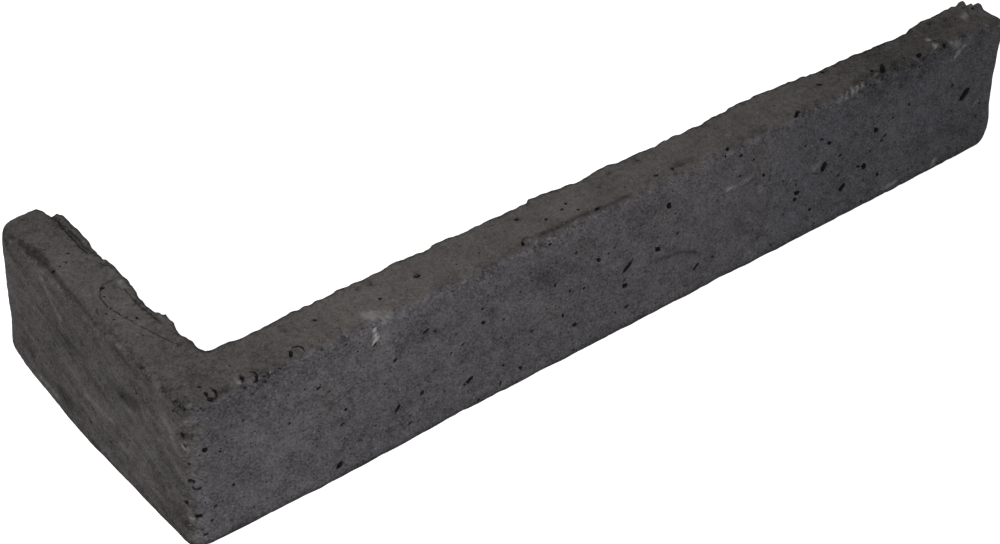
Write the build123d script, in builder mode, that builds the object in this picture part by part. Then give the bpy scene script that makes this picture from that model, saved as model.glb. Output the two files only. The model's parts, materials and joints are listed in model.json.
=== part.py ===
from build123d import *
from math import atan2, degrees
import os

# Corner slip of pigmented concrete: an L in plan, cast in one pour in a soft mould.
# It stands on its bed: X runs along the long leg, Y along the short one, Z up.
# The origin is at the middle of its footprint, on the floor.

# Overall sizes, in millimetres
long_return = 290.0  # outer face of the long leg, from the corner to its end
short_return = 90.0  # outer face of the short leg, from the corner to its end
height = 49.0  # from bed to bed
thickness = 15.0  # from an outer face to the glue face behind it
end_lean = 3.0  # both ends lean back: the legs are this much shorter along the upper bed

# Edges that the mould rounds
corner_radius = 5.0  # upright arris where the two outer faces meet
long_end_radius = 5.0  # upright arris between the long leg's outer face and its end
short_end_radius = 7.0  # the same arris of the short leg
bed_arris_radius = 3.2  # arrises along both beds
inner_corner_radius = 3.0  # inside of the L
# Rounded rim between each end and its glue face: forward from the glue face, and along it
long_rim_depth = 10.0
long_rim_length = 7.0
short_rim_depth = 7.5
short_rim_length = 6.5

# Waves of the rims on the open side, where the pour slumped as it was struck off.
# Each one: how far along from the inside to the leg's end, in percent, and how far the bed falls short
slump_depth = 6.0  # how far down the glue face a slump reaches
corner_slump = 1.0  # at the inside of the L
cutter_margin = 1.0  # cutters run past the faces by this much
long_top_slump = [
    (4.4, 1.0), (8.8, 1.3), (11.8, 1.0), (13.6, 0.8), (16.9, 1.2), (18.7, 0.7), (20.4, 0.8), (22.8, 1.4),
    (24.6, 0.4), (27.6, 1.2), (31.6, 1.1), (34.0, 1.3), (36.4, 0.6), (38.6, 1.5), (42.6, 1.9), (44.8, 1.7),
    (46.3, 2.3), (48.2, 1.9), (51.5, 2.5), (55.8, 2.6), (58.5, 1.9), (62.0, 1.3), (65.1, 1.2), (69.5, 2.0),
    (73.5, 2.8), (80.1, 3.7), (86.8, 4.4), (91.5, 4.0), (96.0, 3.6), (100.4, 3.8),
]
long_bottom_slump = [
    (4.8, 0.9), (9.6, 1.7), (15.8, 1.1), (22.1, 1.4), (26.5, 0.6), (31.6, 1.8), (38.2, 1.2), (44.5, 0.8),
    (50.4, 1.9), (56.3, 1.0), (63.2, 1.5), (69.1, 0.7), (74.6, 1.3), (80.9, 2.0), (86.0, 1.1), (91.9, 1.6),
    (100.4, 1.4),
]
short_top_slump = [
    (9.9, 0.8), (15.5, 0.4), (20.5, 1.3), (28.2, 2.2), (39.4, 1.0), (50.7, 0.5), (57.7, 1.3), (62.0, 2.3),
    (84.5, 2.3), (93.0, 3.4), (101.4, 5.4),
]
short_bottom_slump = [(14.1, 0.8), (32.4, 1.7), (49.3, 1.0), (67.6, 1.4), (84.5, 0.7), (101.4, 1.4)]

# Overpour standing on the upper rim of the long leg's end: back from the end, and height above the bed
ridge_crest = [(31, 0.2), (27, 0.4), (22, 0.8), (16, 0.1), (11, 0.7)]
ridge_peak = (8.4, 2.0)
ridge_ends = (35.0, 7.2)
ridge_root = 3.0  # how deep it is rooted in the leg
ridge_inset = 3.6  # how far its steep back stands in from the glue face
ridge_width = 3.0

# Flake of overpour on the short leg's upper rim: back from the end, and height above the bed
flake_crest = [(30, -2.3), (25, -1.3), (18, -0.5), (12, 0.1), (9, -0.5)]
flake_ends = (31.0, 8.5)
flake_width = 1.2

# Places below are in percent: along a leg, up the height, and back through the thickness
# Round blow-holes in the outer face of the long leg: along, up, width, depth
front_bubbles = [
    (15.0, 13.7, 1.8, 1.2), (29.4, 24.5, 2.2, 1.2), (44.0, 66.1, 1.5, 1.0), (47.7, 37.6, 1.6, 1.2),
    (51.4, 53.3, 1.5, 1.0), (52.4, 80.4, 1.6, 1.0), (64.9, 68.0, 1.4, 0.9), (79.6, 35.5, 2.3, 1.5),
    (80.6, 59.8, 1.9, 1.2), (82.1, 50.6, 1.6, 1.0),
]
# Long ones in the same face: along, up, length, width, depth, tilt in degrees
front_slots = [
    (47.9, 49.6, 4.8, 1.0, 1.2, 41), (56.9, 24.7, 3.2, 1.4, 1.2, 12), (94.0, 52.0, 5.6, 1.7, 1.8, 44),
]
# Round ones in the upper bed: along, back, width, depth
bed_bubbles = [
    (20.7, 37.3, 1.5, 1.0), (25.0, 48.0, 1.3, 0.9), (41.1, 42.7, 1.5, 1.0), (75.5, 72.7, 1.3, 0.9),
]
# Craters that broke through the long leg's upper arris: along, radius
arris_craters = [(2.5, 2.2), (6.3, 1.7), (10.5, 1.9), (53.1, 1.6), (80.5, 2.2)]
crater_drop = 0.2  # how far their centres lie under both of their faces
# Crater in the short leg's outer face, below its upper arris: back along the leg, up, radius
short_crater = (6.4, 92.5, 1.5)

# The short leg's lower arris is worn away towards its end
wear_length = 38.0  # back from the end
wear_up = 10.5  # up the end
wear_back = 14.0  # across the end

left = -long_return / 2
right = long_return / 2
front = -short_return / 2
rear = short_return / 2
long_back = front + thickness
short_back = left + thickness

# Outer face and upper bed of the long leg, from the outer corner
front_face = Plane(origin=(left, front, 0), x_dir=(1, 0, 0), z_dir=(0, -1, 0))
upper_bed = Plane(origin=(left, front, height), x_dir=(1, 0, 0), z_dir=(0, 0, 1))
# Backs of the two overpours, from the ends of their legs
ridge_back = Plane(origin=(right, long_back - ridge_inset, height), x_dir=(-1, 0, 0), z_dir=(0, 1, 0))
flake_back = Plane(origin=(short_back, rear, height), x_dir=(0, -1, 0), z_dir=(-1, 0, 0))
# Feet of the four slumped rims, on the glue faces, turned towards their beds
long_top = Plane(origin=(left, long_back, height - slump_depth), x_dir=(1, 0, 0), z_dir=(0, 0, 1))
long_bottom = Plane(origin=(left, long_back, slump_depth), x_dir=(1, 0, 0), z_dir=(0, 0, -1))
short_top = Plane(origin=(short_back, front, height - slump_depth), x_dir=(0, 1, 0), z_dir=(0, 0, 1))
short_bottom = Plane(origin=(short_back, front, slump_depth), x_dir=(0, 1, 0), z_dir=(0, 0, -1))
# Slope of the worn arris
wear_apex = Vector(left, rear - wear_length, 0)
wear_up_end = Vector(left, rear, wear_up) - wear_apex
wear_back_end = Vector(left + wear_back, rear, 0) - wear_apex
worn_slope = Plane(origin=wear_apex, x_dir=wear_up_end, z_dir=wear_back_end.cross(wear_up_end))


def slump_cutter(stations, leg, foot, side):
    # a ruled wedge: the cove and the glue face shape its foot, and the rim's waves its far side
    reach = slump_depth + cutter_margin
    stretch = reach / slump_depth
    cove_end = thickness + inner_corner_radius
    clear = 2 * thickness
    inward = 1 - 0.5**0.5  # from a quarter circle's middle to its corner, for each unit of radius
    foot_cove = inner_corner_radius * inward
    bed_cove = foot_cove - corner_slump * stretch * (1 - inward)
    waves = [(cove_end, corner_slump)]
    waves += [(cove_end + (leg - cove_end) * share / 100, slump) for share, slump in stations]
    last = waves[-1][0]
    with BuildPart() as cutter:
        with BuildSketch(foot):
            with BuildLine():
                cove = TangentArc((cove_end, 0), (thickness + foot_cove, side * foot_cove), tangent=(-1, 0))
                Polyline(cove @ 0, (last, 0), (last, side * thickness), (clear, side * thickness), cove @ 1)
            make_face()
        with BuildSketch(foot.offset(reach)):
            with BuildLine():
                wave = Spline(*[(along, -side * slump * stretch) for along, slump in waves])
                cove = TangentArc(wave @ 0, (thickness + bed_cove, side * bed_cove), tangent=(-1, 0))
                Polyline(wave @ 1, (last, side * thickness), (clear, side * thickness), cove @ 1)
            make_face()
        loft(ruled=True)
    return cutter.part


slumped_rims = [
    slump_cutter(long_top_slump, long_return, long_top, 1),
    slump_cutter(long_bottom_slump, long_return, long_bottom, -1),
    slump_cutter(short_top_slump, short_return, short_top, -1),
    slump_cutter(short_bottom_slump, short_return, short_bottom, 1),
]

with BuildPart() as corner_slip:
    # both legs in plan, with the lean of their ends
    with BuildSketch():
        with BuildLine():
            Polyline(
                (left, front), (right, front), (right, long_back), (short_back, long_back),
                (short_back, rear), (left, rear), close=True,
            )
        make_face()
    extrude(amount=height)
    ends = [corner_slip.faces().sort_by(Axis.X)[-1], corner_slip.faces().sort_by(Axis.Y)[-1]]
    draft(ends, Plane.XY, degrees(atan2(end_lean, height)))

    # upright arrises: the outer corner, the outer side of each end, and the inside of the L
    for corner, radius in (
        ((left, front), corner_radius), ((right, front), long_end_radius),
        ((left, rear), short_end_radius), ((short_back, long_back), inner_corner_radius),
    ):
        fillet(corner_slip.edges().sort_by_distance((*corner, height / 2))[0], radius)

    # bed arrises all round the moulded side; the glue side keeps its own rims
    bed_edges = corner_slip.faces().filter_by(Axis.Z).edges()
    glue_rims = bed_edges.filter_by(
        lambda edge: min(edge.center().X - short_back, edge.center().Y - long_back) > -0.01
    )
    fillet(bed_edges - glue_rims, bed_arris_radius)
    add(slumped_rims, mode=Mode.SUBTRACT)

    # the rounded rim between each end and its glue face
    with BuildSketch():
        with BuildLine():
            long_end = TangentArc(
                (right, long_back - long_rim_depth), (right - long_rim_length, long_back), tangent=(0, 1)
            )
            Polyline(long_end @ 1, (right, long_back), long_end @ 0)
        make_face()
        with BuildLine():
            short_end = TangentArc(
                (short_back - short_rim_depth, rear), (short_back, rear - short_rim_length), tangent=(1, 0)
            )
            Polyline(short_end @ 1, (short_back, rear), short_end @ 0)
        make_face()
    extrude(amount=height, mode=Mode.SUBTRACT)
    split(bisect_by=worn_slope, keep=Keep.TOP)

    # overpour standing on the rim at the long leg's far end
    with BuildSketch(ridge_back):
        with BuildLine():
            crest = Spline(*ridge_crest)
            Polyline(
                crest @ 1, ridge_peak, (ridge_ends[1], 0), (ridge_ends[1], -ridge_root),
                (ridge_ends[0], -ridge_root), (ridge_ends[0], 0), crest @ 0,
            )
        make_face()
    extrude(amount=-ridge_width)

    # a thin flake of overpour on the short leg, split from the bed by a crevice
    with BuildSketch(flake_back):
        with BuildLine():
            crest = Spline(*flake_crest)
            flake_foot = -slump_depth - cutter_margin
            Polyline(crest @ 1, (flake_ends[1], flake_foot), (flake_ends[0], flake_foot), crest @ 0)
        make_face()
    extrude(amount=flake_width)

    # round blow-holes
    for face, span, bubbles in ((front_face, height, front_bubbles), (upper_bed, thickness, bed_bubbles)):
        for along, across, width, depth in bubbles:
            with BuildSketch(face):
                with Locations((long_return * along / 100, span * across / 100)):
                    Circle(width / 2)
            extrude(amount=-depth, mode=Mode.SUBTRACT)

    # long blow-holes
    for along, up, length, width, depth, tilt in front_slots:
        with BuildSketch(front_face):
            with Locations((long_return * along / 100, height * up / 100)):
                SlotOverall(length, width, rotation=tilt)
        extrude(amount=-depth, mode=Mode.SUBTRACT)

    # craters in the upper arris and beside the corner
    for along, radius in arris_craters:
        with Locations((left + long_return * along / 100, front + crater_drop, height - crater_drop)):
            Sphere(radius, mode=Mode.SUBTRACT)
    back, up, radius = short_crater
    with Locations((left, front + short_return * back / 100, height * up / 100)):
        Sphere(radius, mode=Mode.SUBTRACT)

corner_slip.part.label = "corner_slip"
os.makedirs("parts", exist_ok=True)
export_step(corner_slip.part, "parts/corner_slip.step")
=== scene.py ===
# Corner slip of charcoal cast concrete, standing on its lower bed.
# Sizes are in millimetres, and mm turns them into Blender's metres. A place on the slip is
# (along, back, up): along the long leg from the outer corner, back along the short leg, up from the floor.
import json
from math import cos, pi, radians, sin
from random import Random

import bmesh
import bpy
from mathutils import Matrix, Vector, kdtree, noise
from mathutils.bvhtree import BVHTree


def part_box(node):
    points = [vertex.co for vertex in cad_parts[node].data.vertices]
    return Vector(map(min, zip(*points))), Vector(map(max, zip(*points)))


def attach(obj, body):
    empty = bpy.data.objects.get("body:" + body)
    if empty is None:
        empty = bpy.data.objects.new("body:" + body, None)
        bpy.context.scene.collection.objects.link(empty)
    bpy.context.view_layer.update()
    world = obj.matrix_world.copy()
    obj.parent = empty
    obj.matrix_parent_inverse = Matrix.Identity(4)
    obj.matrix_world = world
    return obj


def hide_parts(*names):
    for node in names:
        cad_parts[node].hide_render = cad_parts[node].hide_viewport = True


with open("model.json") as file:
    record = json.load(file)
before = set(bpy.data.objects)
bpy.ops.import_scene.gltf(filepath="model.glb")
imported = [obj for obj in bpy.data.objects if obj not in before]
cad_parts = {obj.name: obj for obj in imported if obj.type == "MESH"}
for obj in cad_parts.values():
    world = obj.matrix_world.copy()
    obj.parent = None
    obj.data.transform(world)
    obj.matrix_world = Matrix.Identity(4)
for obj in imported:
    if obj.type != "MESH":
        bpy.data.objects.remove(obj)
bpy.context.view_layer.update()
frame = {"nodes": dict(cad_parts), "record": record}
print("frame loaded")

mm = 0.001
scene = bpy.context.scene
low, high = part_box("corner_slip")
outerCorner = Vector((low.x, low.y, 0))
mountAt = {mount["name"]: Vector(mount["pos_m"]) for mount in frame["record"]["mounts"]}
bedHeight = 2 * mountAt["glue_face_long"].z / mm
thickness = (mountAt["glue_face_long"].y - low.y) / mm
longLeg = (high.x - low.x) / mm
shortLeg = (high.y - low.y) / mm


def toFrame(place):
    return outerCorner + Vector(place) * mm


def addToScene(name, data):
    made = bpy.data.objects.new(name, data)
    scene.collection.objects.link(made)
    return made


# Camera, at the photo's angle
cameraSettings = {
    "place": (-215.3, -347.1, 430.0),  # from the outer corner
    "turn": 48.33,  # degrees from the long leg towards the short one
    "fall": 39.65,  # degrees below level
    "roll": 3.63,
    "lens": 86.3,
}
camera = addToScene("camera", bpy.data.cameras.new("camera"))
camera.data.lens = cameraSettings["lens"]
camera.matrix_world = (
    Matrix.Translation(toFrame(cameraSettings["place"]))
    @ Matrix.Rotation(radians(cameraSettings["turn"] - 90), 4, "Z")
    @ Matrix.Rotation(radians(90 - cameraSettings["fall"]), 4, "X")
    @ Matrix.Rotation(radians(cameraSettings["roll"]), 4, "Z")
)
scene.camera = camera

# The casting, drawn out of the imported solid
castingSettings = {
    "voxel": 0.55,
    # each kind of unevenness: size, height and seed
    "swell": (45, 0.30, 1.5),  # the mould's own, slow one
    "ripple": (12, 0.12, 2.5),
    "lumps": (4.5, 0.05, 3.5),
    "grit": (1.6, 0.045, 4.5),
    "arrisWear": (6, 0.28, 7.3),  # the arrises are uneven
    "arrisChips": (2.6, 0.55, 9.1),  # and chipped, where the noise is above chipsFrom
    "chipsFrom": 0.22,
    "dragMarks": (1.5, 0.10, 3.7),  # drawn out over the short leg's face
    "dragRise": 19,  # degrees, rising towards the short leg's end
    "struckMarks": (2.4, 0.30, 5.9),  # the glue faces were struck off with a board
    "struckRise": 4,
    "stretch": 9,  # how far both are drawn out along the stroke
    "glueMargin": 4,  # what faces inward within this much of a glue face belongs to it
    # from where on the skin counts as an arris, as the short leg's face and as a glue face, by its facing
    "arrisFrom": 0.05,
    "shortFrom": -0.3,
    "glueFrom": 0.1,
    "raggedRim": (2.2, 0.55, 11.7),  # the slumped rims on the open side
    "rimFrom": 8,  # how far in from the outer faces the upper rim begins
    "rimDepth": 9,  # how far down it goes
    "footRim": 7,  # how far up the lower rim goes
    "rimTurn": 4,  # how quickly the rims get ragged where the skin turns away from level
    "arris": 3.2,  # radius of the arrises along both beds
    "barSides": 64,  # of a round filling
    "weld": 0.002,  # corners nearer than this become one
    "skinReach": 6,  # how far on either side of the drawn skin the uneven one is looked for
    "triangles": 190000,
    "sharpFrom": 50,  # degrees between two faces
}


def wave(place, size, seed):
    return noise.noise(place / size + Vector((seed, 2 * seed, -seed)))


def drawnOut(along, across, third, rise):
    # a place squeezed along a stroke that rises by so many degrees, so noise there is drawn out
    turn = radians(rise)
    forward = (along * cos(turn) + across * sin(turn)) / castingSettings["stretch"]
    sideways = across * cos(turn) - along * sin(turn)
    return Vector((forward, sideways, third))


def fallOff(gap, reach):
    # one at no gap, nought at the reach
    return 0.5 + 0.5 * cos(pi * gap / reach)


def unevenness(place, facing):
    # how far the cast surface stands out of the drawn one here, in millimetres
    look = castingSettings
    along, back, up = place
    total = 0
    for key in ("swell", "ripple", "lumps", "grit"):
        size, height, seed = look[key]
        total += height * wave(place, size, seed)
    squares = [value * value for value in facing]
    edge = min(1, 2 * (1 - max(squares)))  # nought on a flat face, one where it turns
    if edge > look["arrisFrom"]:
        size, height, seed = look["arrisWear"]
        total += edge * height * wave(place, size, seed)
        size, height, seed = look["arrisChips"]
        total -= edge * height * max(0, wave(place, size, seed) - look["chipsFrom"])
    if facing.x < look["shortFrom"]:
        size, height, seed = look["dragMarks"]
        total += squares[0] * height * wave(drawnOut(back, up, along, look["dragRise"]), size, seed)
    glueReach = thickness + look["glueMargin"]
    onGlueFace = squares[0] if facing.x > 0 and along < glueReach else 0
    onGlueFace += squares[1] if facing.y > 0 and back < glueReach else 0
    if onGlueFace > look["glueFrom"]:
        size, height, seed = look["struckMarks"]
        total += onGlueFace * height * wave(drawnOut(along + back, up, 0, look["struckRise"]), size, seed)
    onUpperRim = min(along, back) > look["rimFrom"] and up > bedHeight - look["rimDepth"]
    if onUpperRim or onGlueFace > look["glueFrom"] and up < look["footRim"]:
        size, height, seed = look["raggedRim"]
        total += min(1, look["rimTurn"] * (1 - abs(facing.z))) * height * wave(place, size, seed)
    return total


# Where the casting is fuller or more worn than its drawing: place, reach, push
nudges = [
    ((288, 4, 48), 9, (-0.15, 0, -1.35)), ((286, 8, 50), 7, (0, 0, -1.6)), ((281, 9, 49), 4, (0, 0, -1.2)),
    ((274, 11.5, 49), 4, (0, 0, 0.9)), ((276.7, 10.3, 49.4), 1.3, (0, 0, 2.6)),
    ((262, 10.5, 49), 5, (0, 0.5, 0.5)), ((290, 3, 8), 4, (1.3, 0, 0)), ((289, 0, 1), 3, (0, 0.3, 0.6)),
    ((290, 3, 32), 9, (-0.5, 0, 0)), ((8, 89, 49), 4, (0, -0.2, -0.5)), ((3, 86, 38), 13, (-0.6, 0.6, 0)),
    ((0, 88, 45), 5, (-0.3, 0.3, 0)), ((0, 77, 11), 7, (-0.3, 0, -0.1)), ((0, 61, 5), 7, (0.4, 0, 0.2)),
    ((12.5, 70, 47), 6, (0.6, 0, 0)), ((12.5, 46, 47), 9, (0.25, 0, 0)), ((12.5, 28, 47), 5, (0.4, 0, 0)),
    ((13.5, 19.5, 48.5), 3, (0.7, 0, 0.4)), ((19, 13.5, 48.5), 2.5, (0, 0.5, 0.3)),
    ((13, 24, 48), 3.5, (-0.4, 0, 0)), ((1, 5, 2), 5, (0.3, 0, 0.2)), ((45, 14, 48), 14, (0, 0.6, 0)),
    ((75, 13, 48), 9, (0, 0.6, 0)), ((110, 13, 48), 5, (0, 0.2, 0)), ((121, 13, 48), 4, (0, 0.7, 0)),
    ((140, 13, 48), 7, (0, 0.5, 0)), ((164, 13, 48), 4, (0, 0.6, 0)), ((38, 0, 2), 16, (0, -0.6, 0)),
    ((84, 0, 2), 8, (0, 0.4, 0)), ((180, 0, 1), 5, (0, 0.5, 0)),
]


def applyModifiers(piece):
    bpy.context.view_layer.update()
    seen = piece.evaluated_get(bpy.context.evaluated_depsgraph_get())
    old = piece.data
    piece.data = bpy.data.meshes.new_from_object(seen)
    piece.modifiers.clear()
    bpy.data.meshes.remove(old)


# Drawn pits and craters, filled here and cut again below with the real ones' rough walls:
# two corners of a block, or the two ends of a round bar's middle line and its radius
arris = castingSettings["arris"]
arrisHeight = bedHeight - arris
blockFillings = [
    ((5, 0, 5), (285, 4, arrisHeight)),
    ((0, 4, 40), (4, 12, arrisHeight)),
    ((58, 3.6, 44), (62, 7.6, bedHeight)),
    ((70.5, 5.2, 44), (74.5, 9.2, bedHeight)),
    ((117, 4.4, 44), (121, 8.4, bedHeight)),
    ((217.4, 9.3, 44), (220.6, 12, bedHeight)),
]
arrisFillings = [
    ((5, arris, arrisHeight), (285, arris, arrisHeight), arris),
    ((arris, 5, arrisHeight), (arris, 14, arrisHeight), arris),
    ((5, 5, 4), (5, 5, arrisHeight), 5),
]


def fillPits(bm):
    for first, second in blockFillings:
        first, second = Vector(first), Vector(second)
        size = Matrix.Diagonal((*(second - first), 1 / mm)) * mm
        bmesh.ops.create_cube(bm, size=1, matrix=Matrix.Translation(toFrame((first + second) / 2)) @ size)
    for first, second, radius in arrisFillings:
        radius *= mm
        along = Vector(second) - Vector(first)
        turn = along.to_track_quat("Z", "Y").to_matrix().to_4x4()
        middle = Matrix.Translation(toFrame(Vector(first) + along / 2))
        bmesh.ops.create_cone(
            bm, cap_ends=True, segments=castingSettings["barSides"], radius1=radius, radius2=radius,
            depth=along.length * mm, matrix=middle @ turn)


def makeCasting():
    bm = bmesh.new()
    bm.from_mesh(frame["nodes"]["corner_slip"].data)
    bmesh.ops.remove_doubles(bm, verts=bm.verts, dist=castingSettings["weld"] * mm)
    fillPits(bm)
    mesh = bpy.data.meshes.new("casting")
    bm.to_mesh(mesh)
    bm.free()
    piece = addToScene("corner_slip_casting", mesh)
    remesh = piece.modifiers.new("remesh", "REMESH")
    remesh.mode = "VOXEL"
    remesh.voxel_size = castingSettings["voxel"] * mm
    applyModifiers(piece)

    bm = bmesh.new()
    bm.from_mesh(piece.data)
    bm.normal_update()
    for vert in bm.verts:
        place = (vert.co - outerCorner) / mm
        shift = vert.normal * unevenness(place, vert.normal)
        for centre, reach, push in nudges:
            gap = (place - Vector(centre)).length
            if gap < 2 * reach:
                shift += Vector(push) * fallOff(gap, 2 * reach)
        vert.co += shift * mm
        vert.co.z = max(vert.co.z, 0)
    bm.to_mesh(piece.data)
    bm.free()
    return piece


casting = makeCasting()
print("casting", len(casting.data.polygons), "faces")

# Blow-holes that air left against the mould: the place, then length, width and depth, and tilt in degrees.
# Seen from outside, a tilt turns the length up to the right.
frontHoles = [  # along, up
    (15.3, 37.3, 1.0, 0.8, 0.6, 0), (44.5, 19.9, 1.4, 1.1, 0.9, 30), (43.6, 6.6, 2.6, 2.1, 2.0, 45),
    (37.5, 35.5, 1.8, 1.1, 0.4, 0), (54.4, 40.9, 1.9, 0.9, 0.8, 50), (49.2, 41.3, 0.9, 0.7, 0.5, 0),
    (70.3, 37.2, 2.2, 1.2, 0.9, 20), (73.2, 35.7, 1.2, 0.9, 0.7, 0), (82.6, 26.4, 1.1, 0.9, 0.7, 0),
    (78.9, 25.2, 1.3, 0.8, 0.6, 40), (85.6, 12.3, 3.0, 1.7, 1.7, 32), (84.2, 11.5, 1.3, 1.1, 1.2, 0),
    (69.8, 16.5, 1.7, 1.3, 0.9, 50), (71.6, 17.5, 0.8, 0.7, 0.5, 0), (62.0, 15.6, 2.9, 1.3, 1.0, 55),
    (66.2, 8.1, 1.8, 0.9, 0.8, 45), (57.8, 26.1, 0.8, 0.7, 0.5, 0), (88.4, 35.3, 1.2, 0.8, 0.7, -45),
    (89.0, 30.4, 1.9, 1.2, 1.1, -40), (110.1, 46.1, 1.1, 0.9, 0.7, 0), (128.0, 32.2, 2.2, 1.3, 1.4, -45),
    (133.5, 33.7, 0.9, 0.8, 0.6, 0), (139.2, 24.5, 5.4, 1.6, 1.8, 43), (139.0, 17.8, 2.6, 1.6, 1.9, -35),
    (138.7, 20.3, 1.7, 0.8, 0.8, 65), (140.5, 14.2, 0.9, 0.8, 0.6, 0), (140.4, 9.8, 1.7, 1.1, 1.0, 40),
    (136.3, 9.6, 0.9, 0.8, 0.6, 0), (121.5, 12.9, 2.0, 1.3, 0.9, -20), (106.1, 18.7, 1.4, 1.0, 0.4, 0),
    (121.4, 6.3, 0.9, 0.8, 0.6, 0), (121.8, 3.8, 0.9, 0.8, 0.6, 0), (97.0, 11.4, 1.3, 0.8, 0.8, -45),
    (103.1, 7.3, 1.8, 1.1, 1.0, -45), (96.3, 5.4, 2.0, 0.8, 0.7, 90), (149.8, 25.4, 2.6, 1.5, 1.8, -40),
    (149.3, 29.8, 0.9, 0.8, 0.6, 0), (152.1, 39.3, 2.8, 1.6, 1.8, 118), (155.0, 35.3, 0.9, 0.8, 0.6, 0),
    (165.8, 11.6, 2.9, 1.3, 1.3, 50), (188.2, 33.3, 1.8, 1.1, 1.2, -45), (191.3, 31.7, 0.9, 0.8, 0.6, 0),
    (195.9, 4.8, 1.1, 0.9, 0.7, 0), (189.4, 10.8, 1.0, 0.8, 0.6, 0), (203.5, 20.2, 2.5, 1.6, 1.5, -30),
    (203.1, 18.0, 2.1, 1.3, 1.3, -45), (210.2, 11.1, 1.9, 1.1, 1.1, -45), (213.2, 4.7, 0.9, 0.8, 0.6, 0),
    (204.2, 36.3, 1.1, 0.9, 0.7, 0), (210.7, 35.6, 1.6, 0.9, 0.9, -35), (214.1, 33.0, 2.3, 1.3, 1.2, -30),
    (219.9, 26.2, 1.4, 1.1, 0.9, 40), (213.4, 24.9, 3.6, 2.4, 1.9, 85), (220.5, 18.8, 1.1, 0.9, 0.7, 0),
    (222.9, 13.4, 3.2, 2.5, 2.0, 68), (231.2, 17.3, 3.2, 1.9, 2.1, -45), (228.6, 18.4, 2.0, 0.9, 0.8, -25),
    (238.1, 11.3, 1.9, 1.1, 1.1, -50), (232.6, 22.1, 0.9, 0.8, 0.7, 0), (233.7, 29.3, 2.8, 1.6, 1.7, -50),
    (238.3, 25.3, 1.6, 1.2, 1.0, 40), (237.3, 23.9, 1.5, 1.1, 0.9, 0), (233.8, 34.0, 0.9, 0.8, 0.6, 0),
    (247.0, 32.6, 1.6, 1.2, 1.0, -70), (246.8, 9.1, 1.0, 0.8, 0.7, 0), (252.3, 6.8, 1.1, 0.9, 0.7, 0),
    (265.7, 31.5, 1.7, 1.3, 1.1, -60), (268.6, 29.3, 0.8, 0.7, 0.6, 0), (272.6, 25.5, 4.8, 3.4, 2.6, 58),
    (279.3, 29.7, 1.0, 0.8, 0.6, 0),
]
bedHoles = [  # along, back
    (42.5, 8.6, 1.4, 0.9, 0.8, -37), (60.0, 5.7, 1.1, 0.9, 1.0, 0), (72.5, 7.2, 2.1, 1.6, 1.4, 0),
    (119.2, 6.4, 1.2, 0.9, 1.0, 0), (121.6, 7.6, 1.1, 0.9, 0.8, 0), (214.2, 7.2, 2.0, 1.3, 1.2, -45),
    (219.0, 10.9, 1.2, 0.9, 0.8, -40), (1.4, 61.6, 1.2, 1.0, 1.0, 60), (8.1, 65.1, 1.0, 0.8, 0.6, 0),
    (3.9, 61.9, 0.8, 0.7, 0.5, 0),
]
arrisHoles = [  # along, back, up
    (16.7, 2.1, 48.8, 1.3, 1.0, 0.9, 0), (7.2, 2.2, 46.8, 1.9, 1.1, 0.8, -10),
    (9.1, 2.6, 48.3, 2.0, 1.0, 0.9, 100), (6.9, 2.9, 48.0, 1.2, 0.9, 0.7, 100),
    (20.0, 1.5, 47.2, 1.9, 0.9, 0.8, 60), (30.9, 2.5, 48.4, 2.2, 1.1, 1.0, 50),
    (102.3, 1.8, 48.7, 1.4, 1.1, 1.0, 50), (127.1, 1.6, 48.6, 2.0, 0.8, 0.8, 0),
    (148.9, 2.9, 49.0, 1.9, 1.0, 0.8, 0), (154.4, 2.5, 48.9, 1.2, 0.9, 0.6, 0),
    (173.3, 1.0, 48.1, 1.4, 1.1, 1.0, 0), (171.9, 0.2, 46.8, 0.9, 0.8, 0.6, 0),
    (177.8, 0.0, 44.6, 1.7, 1.1, 1.0, -20), (199.6, 1.2, 48.3, 3.0, 1.0, 1.1, 22),
    (231.1, 3.1, 49.0, 1.3, 1.0, 0.9, 0), (234.6, 2.6, 48.0, 3.2, 1.7, 1.5, 50),
    (248.6, 1.3, 48.3, 2.3, 1.4, 1.2, 0), (258.8, 0.8, 47.9, 1.6, 1.2, 1.0, 0),
    (0.2, 3.6, 38.4, 1.7, 1.3, 1.6, 80), (0.4, 3.0, 35.3, 1.2, 0.7, 0.7, -40),
    (4.4, 0.0, 33.9, 1.8, 1.4, 1.7, 110), (8.6, 0.0, 31.1, 0.9, 0.8, 0.7, 0),
    (1.0, 2.0, 29.8, 1.0, 0.8, 0.7, 0), (1.2, 1.8, 24.2, 1.8, 1.5, 1.7, 0),
    (0.3, 3.3, 16.4, 1.7, 1.2, 1.5, 60), (2.4, 0.7, 12.5, 2.1, 1.5, 1.6, 10),
    (3.9, 0.1, 5.8, 1.4, 0.9, 0.9, 20), (0.0, 6.6, 44.0, 1.5, 0.8, 0.8, 60),
    (0.1, 5.0, 46.4, 1.6, 0.6, 0.6, 120), (0.0, 72.1, 38.5, 1.0, 0.8, 0.6, 0),
    (0.0, 76.6, 34.5, 1.0, 0.8, 0.6, 0), (0.0, 80.5, 44.3, 1.0, 0.8, 0.6, 0),
    (0.0, 36.8, 10.7, 1.1, 0.8, 0.7, 0), (0.0, 27.8, 18.0, 1.0, 0.8, 0.7, 0),
    (0.0, 19.6, 17.3, 0.9, 0.7, 0.6, 0), (0.0, 16.6, 40.0, 0.9, 0.8, 0.6, 0),
    (0.0, 38.4, 14.7, 0.8, 0.7, 0.6, 0), (0.0, 34.2, 12.4, 0.9, 0.7, 0.6, 0),
    (0.0, 29.6, 31.6, 1.3, 0.9, 0.8, 20), (0.0, 59.2, 8.6, 2.0, 0.8, 0.8, -30),
]
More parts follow.
